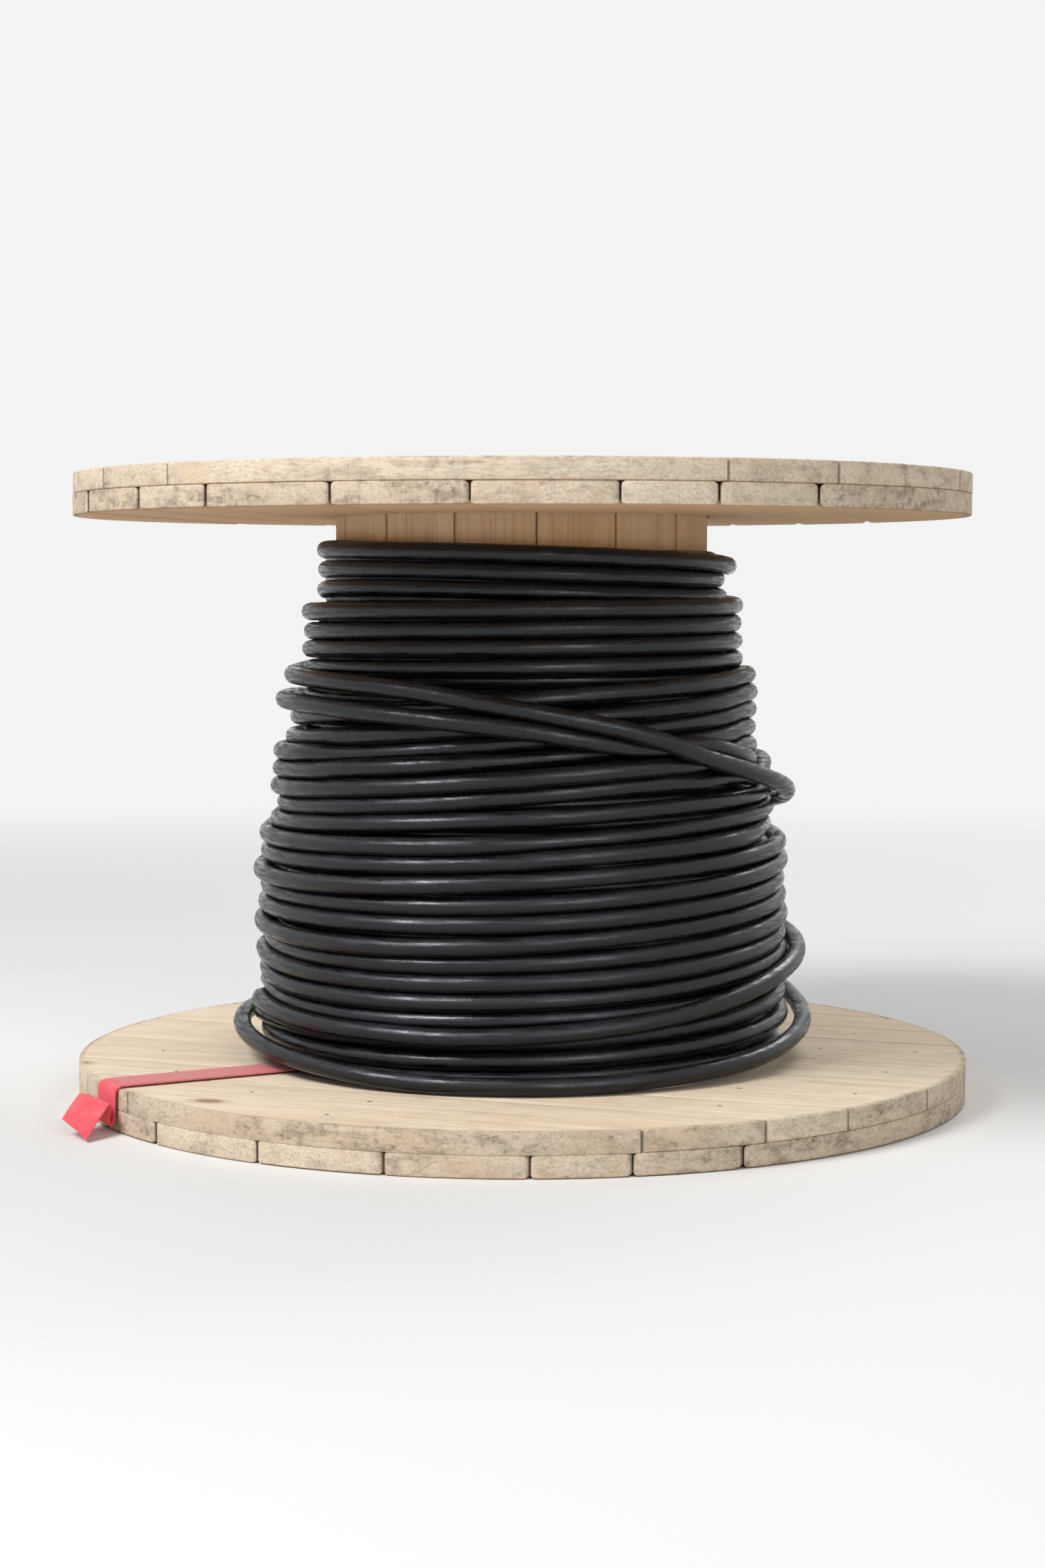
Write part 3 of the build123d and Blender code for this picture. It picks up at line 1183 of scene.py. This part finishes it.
def draw_back(values, part, aim, pull):
    """Draw a strand a little towards where it was laid, and even out how far it is from there."""
    values[part] += pull * (aim - values[part])
    offset = values[part] - aim
    values[part] = aim + 0.6 * offset + 0.4 * smooth(offset, 3)


def drift_at(rise, side, cable):
    """How far the turns lie above an even helix, from its left side, -1, to its right side, 1."""
    left = np.interp(
        rise,
        (0.0, 0.10, 0.14, 0.23, 0.30, 0.36, 0.405, 0.427, 0.48, 0.53, 0.56),
        (0.0, 0.0, -0.5, -0.6, -0.95, -1.5, -1.7, 0.2, 0.0, 0.32, 0.28),
    )
    right = np.interp(
        rise,
        (0.0, 0.03, 0.07, 0.22, 0.286, 0.308, 0.35, 0.39, 0.43, 0.48, 0.52, 0.545, 0.567),
        (0.1, 0.5, 0.6, 0.5, 0.3, 0.85, 0.55, 0.35, 0.15, 0.0, -0.2, -0.7, -1.6),
    )
    return cable.drift * (left * (1 - side) + right * (1 + side)) / 2


def sag_at(height, cable):
    """How far the turns at a height hang lower in front than at the back."""
    return cable.sag * np.interp(height, (0.01, 0.07, 0.15, 0.23, 0.29), (0.0, 0.8, 1.0, 0.35, 0.0))


def wander_at(samples, cable, seed):
    """Slow uneven waves along the cable."""
    random = Random(seed)
    angle = samples * tau / cable.samples
    total = np.zeros(len(samples))
    for wave in (0.37, 0.61, 1.13, 1.71, 2.3):
        size = random.uniform(0.4, 1.0)
        total += size * np.sin(wave * angle + random.uniform(0, tau)) / (0.6 + wave)
    return total


def front_sample(cable):
    """The number of the sample at the front of the drum."""
    return int(round((cable.front % tau) / tau * cable.samples))


def wound_turns(cable, floor):
    """The turns that show, from the lower flange up, on the outermost layer at each height."""
    turns = cable.layer_turns[0]
    top_gap = 0.45
    clearance = 0.0005
    front = front_sample(cable)
    samples = front + np.arange(-cable.samples // 2, int((turns - top_gap) * cable.samples))
    turn = (samples - front) / cable.samples
    rise = cable.pitch * turn
    lowest = floor + cable.diameter / 2
    height = lowest + clearance + rise + drift_at(rise, np.sin(tau * turn), cable)
    height += sag_at(rise, cable) * (0.4 - np.cos(tau * turn))
    wander = cable.wander * np.interp(rise, (0.34, 0.44), (1.0, 0.25))
    height = np.maximum(height + wander * wander_at(samples, cable, 4), lowest)
    radius = smooth(layer_radius(height - floor, cable), 5)
    radius += 1.2 * wander * wander_at(samples, cable, 9)
    tucked_in = np.clip(-(turn + 0.15) / 0.35, 0.0, 1.0)
    curl = np.exp(-(((turn - turns + 0.75) / 0.07) ** 2))
    radius -= 0.022 * tucked_in
    radius += 0.008 * curl
    rest = layer_radius(height - floor + cable.diameter / 2, cable)
    return Strand(samples[0], radius, height, np.minimum(rest, radius) - 0.004, 1.0)


def laid_over(cable, looseness, points):
    """A loose stretch of cable through points of angle from the front, distance and height."""
    step = tau / cable.samples
    degrees, distances, heights = np.array(points).T
    angles = np.radians(degrees)
    first = ceil(angles[0] / step)
    at = np.arange(first, int(angles[-1] / step) + 1) * step
    radius = smooth(np.interp(at, angles, distances), 5)
    height = smooth(np.interp(at, angles, heights), 5)
    rest = np.full(len(radius), cable.bore)
    return Strand(front_sample(cable) + first, radius, height, rest, looseness)


def cable_tube(strand, cable):
    """The cable itself along a strand, as a mesh tube with closed ends."""
    angle = strand.samples * tau / cable.samples
    curve = bpy.data.curves.new("cable", "CURVE")
    curve.dimensions = "3D"
    curve.bevel_depth = cable.diameter / 2
    curve.bevel_resolution = (cable.sides - 4) // 2
    curve.use_fill_caps = True
    curve.twist_mode = "Z_UP"
    spline = curve.splines.new("POLY")
    spline.points.add(len(angle) - 1)
    for point, at, distance, height in zip(spline.points, angle, strand.radius, strand.height):
        point.co = (distance * cos(at), distance * sin(at), height, 1)
    make_active(new_object("cable", curve))
    bpy.ops.object.convert(target="MESH")
    piece = bpy.context.object
    close_seams(piece)
    return piece


def inner_layers(cable, floor):
    """The cable under the turns that show: rings of the next layer down, spun in one."""
    skin = 0.0005
    half = cable.diameter / 2
    inmost = cable.bore + 0.001
    sides = 5
    layer_rise = cable.diameter * sin(pi / 3)
    points = [(cable.bore + skin, floor + skin)]
    for turn in range(cable.layer_turns[0] - 1):
        middle = floor + half + cable.pitch * (turn + 0.5)
        outer = layer_radius(np.array([middle - floor + cable.diameter * 0.55]), cable)[0]
        centre = max(outer - layer_rise, inmost)
        for side in range(sides):
            angle = -pi / 2 + pi * (side + 0.5) / sides
            points.append((max(centre + half * cos(angle), inmost), middle + half * sin(angle)))
    points.append((cable.bore + skin, points[-1][1] + 0.001))
    mesh = bpy.data.meshes.new("inner_layers")
    edges = [(index, (index + 1) % len(points)) for index in range(len(points))]
    mesh.from_pydata([(distance, 0, height) for distance, height in points], edges, [])
    piece = new_object("inner_layers", mesh)
    with editing(piece):
        bpy.ops.mesh.spin(steps=96, angle=tau, center=(0, 0, 0), axis=(0, 0, 1))
    close_seams(piece)
    return piece


class CABLEDRUM_OT_cable(bpy.types.Operator):
    """Wind the cable on the barrel and lay its loose stretches over the turns"""

    bl_idname = "cable_drum.cable"
    bl_label = "Cable Winding"

    def execute(self, context):
        settings = context.scene.cable_drum
        cable = settings.cable
        strands = [wound_turns(cable, winding_foot)]
        for looseness, points in LOOSE_STRANDS.values():
            strands.append(laid_over(cable, looseness, points))
        settle(strands, cable, winding_foot)
        tubes = [cable_tube(strand, cable) for strand in strands]
        piece = join(tubes + [inner_layers(cable, winding_foot)])
        shade(piece, 50)
        material = cable_material(settings.colours)
        dress(piece, "cable_turns", "cable_jacket", material, "cable_winding")
        return {"FINISHED"}


# Strap


def strap_rows(half):
    """Both edges of the strap from the cable to its end, and how faded it is there.

    Each edge is given by its distance out from the axis, its distance aside from the strap's
    middle line, and its height. The strap hangs over the rim, turns up again and falls over.
    """
    return np.array([
        (0.300, -half, 0.0502, 0.300, half, 0.0502, 0.75),
        (0.400, -half, 0.0502, 0.400, half, 0.0502, 1.0),
        (0.492, -half, 0.0503, 0.492, half, 0.0503, 0.9),
        (0.5065, -half, 0.0497, 0.5065, half, 0.0497, 0.35),
        (0.5107, -half, 0.0450, 0.5107, half, 0.0450, 0.0),
        (0.5112, -half, 0.0280, 0.5112, 0.024, 0.0260, 0.0),
        (0.5127, -half, 0.0125, 0.5122, 0.023, 0.0110, 0.0),
        (0.5180, -half, 0.0085, 0.5155, 0.023, 0.0075, 0.0),
        (0.5225, -0.0255, 0.0160, 0.5185, 0.024, 0.0140, 0.0),
        (0.5250, -0.0260, 0.0300, 0.5165, 0.026, 0.0260, 0.0),
        (0.5275, -0.0263, 0.0370, 0.5165, 0.0271, 0.0320, 0.05),
        (0.5325, -0.0240, 0.0375, 0.5200, 0.0300, 0.0322, 0.2),
        (0.5480, -0.0090, 0.0285, 0.5370, 0.0440, 0.0200, 0.25),
        (0.5632, 0.0059, 0.0160, 0.5577, 0.0593, 0.0035, 0.1),
    ])


class CABLEDRUM_OT_strap(bpy.types.Operator):
    """Lay the lashing strap over the lower flange's rim, with its folded end"""

    bl_idname = "cable_drum.strap"
    bl_label = "Lashing Strap"

    def execute(self, context):
        settings = context.scene.cable_drum
        strap = settings.strap
        count = 130
        rim_row = 4
        cup_depth = 0.0022
        webbing_share = 0.8
        rows = strap_rows(strap.width / 2)
        middle = (rows[:, 0:3] + rows[:, 3:6]) / 2
        steps = np.linalg.norm(np.diff(middle, axis=0), axis=1)
        reach = np.append(0.0, np.cumsum(steps))
        at = np.linspace(0, reach[-1], count)
        fine = np.transpose([smooth(np.interp(at, reach, column), 2) for column in rows.T])
        deselect()
        bpy.ops.mesh.primitive_grid_add(x_subdivisions=count - 1, y_subdivisions=12, size=1)
        piece = bpy.context.object
        out, aside = directions(strap.direction)
        weave = piece.data.attributes.new("weave", "FLOAT_VECTOR", "POINT")
        for vertex, facts in zip(piece.data.vertices, weave.data):
            row = min(count - 1, int(round((vertex.co.x + 0.5) * (count - 1))))
            share = vertex.co.y + 0.5
            left = fine[row, 0:3]
            distance, offset, height = left + (fine[row, 3:6] - left) * share
            loose = max(0.0, at[row] - reach[rim_row]) / (reach[-1] - reach[rim_row])
            cup = sin(pi * share) + 0.35 * sin(9 * share + at[row] * 60)
            cup *= cup_depth * loose
            vertex.co = out * (distance + cup * 0.5) + aside * offset
            vertex.co.z = max(height + cup, strap.thickness / 2)
            facts.vector = (at[row], (share - 0.5) * strap.width, fine[row, 6])
        thickness = strap.thickness * webbing_share
        apply_modifier(piece, "SOLIDIFY", thickness=thickness, offset=0)
        close_seams(piece)
        shade(piece, 60)
        material = strap_material(settings.colours)
        dress(piece, "strap_webbing", "strap_webbing", material, "lashing_strap")
        return {"FINISHED"}


# Stage


def seen_by_camera(graph):
    """1 where the camera sees a surface straight, in a reflection or through glass."""
    path = graph.add("ShaderNodeLightPath")
    total = path["Is Camera Ray"] + path["Is Glossy Ray"]
    return graph.math("ADD", total, path["Is Transmission Ray"], clamp=True)


def studio_world(colours):
    """Even soft light, and a pale background where the camera sees past the floor."""
    world = bpy.data.worlds.new("Studio")
    world.use_nodes = True
    world.node_tree.nodes.clear()
    graph = Graph(world.node_tree)
    light = graph.add("ShaderNodeBackground", {"Color": (1, 1, 1), "Strength": 0.30})[0]
    pale = graph.add("ShaderNodeBackground", {"Color": colours.backdrop, "Strength": 1.0})[0]
    inputs = {0: seen_by_camera(graph), 1: light, 2: pale}
    graph.add("ShaderNodeOutputWorld", {"Surface": graph.add("ShaderNodeMixShader", inputs)[0]})
    return world


def floor_material(colours):
    """A pale floor that fades into the background."""
    material, graph = new_material("Floor")
    inputs = {"Base Color": colours.floor, "Roughness": 0.9}
    shader = graph.add("ShaderNodeBsdfPrincipled", inputs)[0]
    glow = graph.add("ShaderNodeEmission", {"Color": colours.backdrop})[0]
    x, y, _ = graph.split(graph.place())
    fade = graph.step(graph.distance(x, y), 1.2, 4.5) * seen_by_camera(graph)
    mixed = graph.add("ShaderNodeMixShader", {0: fade, 1: shader, 2: glow})[0]
    graph.add("ShaderNodeOutputMaterial", {"Surface": mixed})
    return material


def look_from(thing, place, aim):
    """Put a camera or a light at a place and turn it towards another."""
    thing.location = place
    thing.rotation_mode = "QUATERNION"
    thing.rotation_quaternion = (aim - thing.location).to_track_quat("-Z", "Y")


class CABLEDRUM_OT_stage(bpy.types.Operator):
    """Set the floor, the light and the camera"""

    bl_idname = "cable_drum.stage"
    bl_label = "Stage"

    def execute(self, context):
        scene = context.scene
        colours = scene.cable_drum.colours
        scene.view_settings.view_transform = "Standard"
        scene.world = studio_world(colours)
        deselect()
        bpy.ops.mesh.primitive_circle_add(vertices=128, radius=14, fill_type="NGON")
        floor = bpy.context.object
        floor.name = "floor"
        floor.data.materials.append(floor_material(colours))

        middle = (cad_low + cad_high) / 2
        lamps = (
            ("Key", (-1.8, -2.9, 3.7), 1.9, 205),
            ("Fill", (3.1, -3.3, 2.0), 2.4, 58),
            ("Back", (0.8, 3.2, 3.4), 2.4, 80),
        )
        for name, place, size, power in lamps:
            lamp = bpy.data.lights.new(name, "AREA")
            lamp.size = size
            lamp.energy = power
            look_from(new_object(name, lamp), place, middle)

        camera = new_object("Camera", bpy.data.cameras.new("Camera"))
        look_from(camera, (1.1496, -3.0027, 0.5784), Vector((0, 0, middle.z)))
        filled_width = 0.86
        short_side = 1440 / 2160
        half_view = asin(cad_high.y / camera.location.xy.length) / filled_width
        camera.data.sensor_width = 36
        camera.data.lens = camera.data.sensor_width / 2 * short_side / tan(half_view)
        scene.camera = camera
        return {"FINISHED"}


class CABLEDRUM_PT_sidebar(bpy.types.Panel):
    """Lists the drum's operators and settings in the 3D view's sidebar"""

    bl_idname = "CABLEDRUM_PT_sidebar"
    bl_label = "Cable Drum"
    bl_space_type = "VIEW_3D"
    bl_region_type = "UI"
    bl_category = "Cable Drum"

    def draw(self, context):
        for operator in OPERATORS:
            self.layout.operator(operator.bl_idname)
        for group in ("drum", "cable", "strap", "colours"):
            settings = getattr(context.scene.cable_drum, group)
            box = self.layout.box()
            for name in settings.__annotations__:
                box.prop(settings, name)


OPERATORS = (
    CABLEDRUM_OT_stage,
    CABLEDRUM_OT_flange_boards,
    CABLEDRUM_OT_tie_bolts,
    CABLEDRUM_OT_staves,
    CABLEDRUM_OT_flange_nails,
    CABLEDRUM_OT_cable,
    CABLEDRUM_OT_strap,
)
GROUPS = (DrumSizes, CableSizes, StrapSizes, DrumColours, CableDrumSettings)
CLASSES = (*GROUPS, *OPERATORS, CABLEDRUM_PT_sidebar)


def register():
    """Register the classes and the scene's settings."""
    for each in CLASSES:
        bpy.utils.register_class(each)
    bpy.types.Scene.cable_drum = PointerProperty(
        type=CableDrumSettings, name="Cable Drum", description="Settings of the cable drum"
    )


def unregister():
    """Remove the scene's settings and the classes."""
    del bpy.types.Scene.cable_drum
    for each in reversed(CLASSES):
        bpy.utils.unregister_class(each)


def main():
    """Make every piece."""
    register()
    bpy.ops.cable_drum.stage()
    bpy.ops.cable_drum.flange_boards()
    bpy.ops.cable_drum.tie_bolts()
    bpy.ops.cable_drum.staves()
    bpy.ops.cable_drum.flange_nails()
    bpy.ops.cable_drum.cable()
    bpy.ops.cable_drum.strap()


if __name__ == "__main__":
    main()
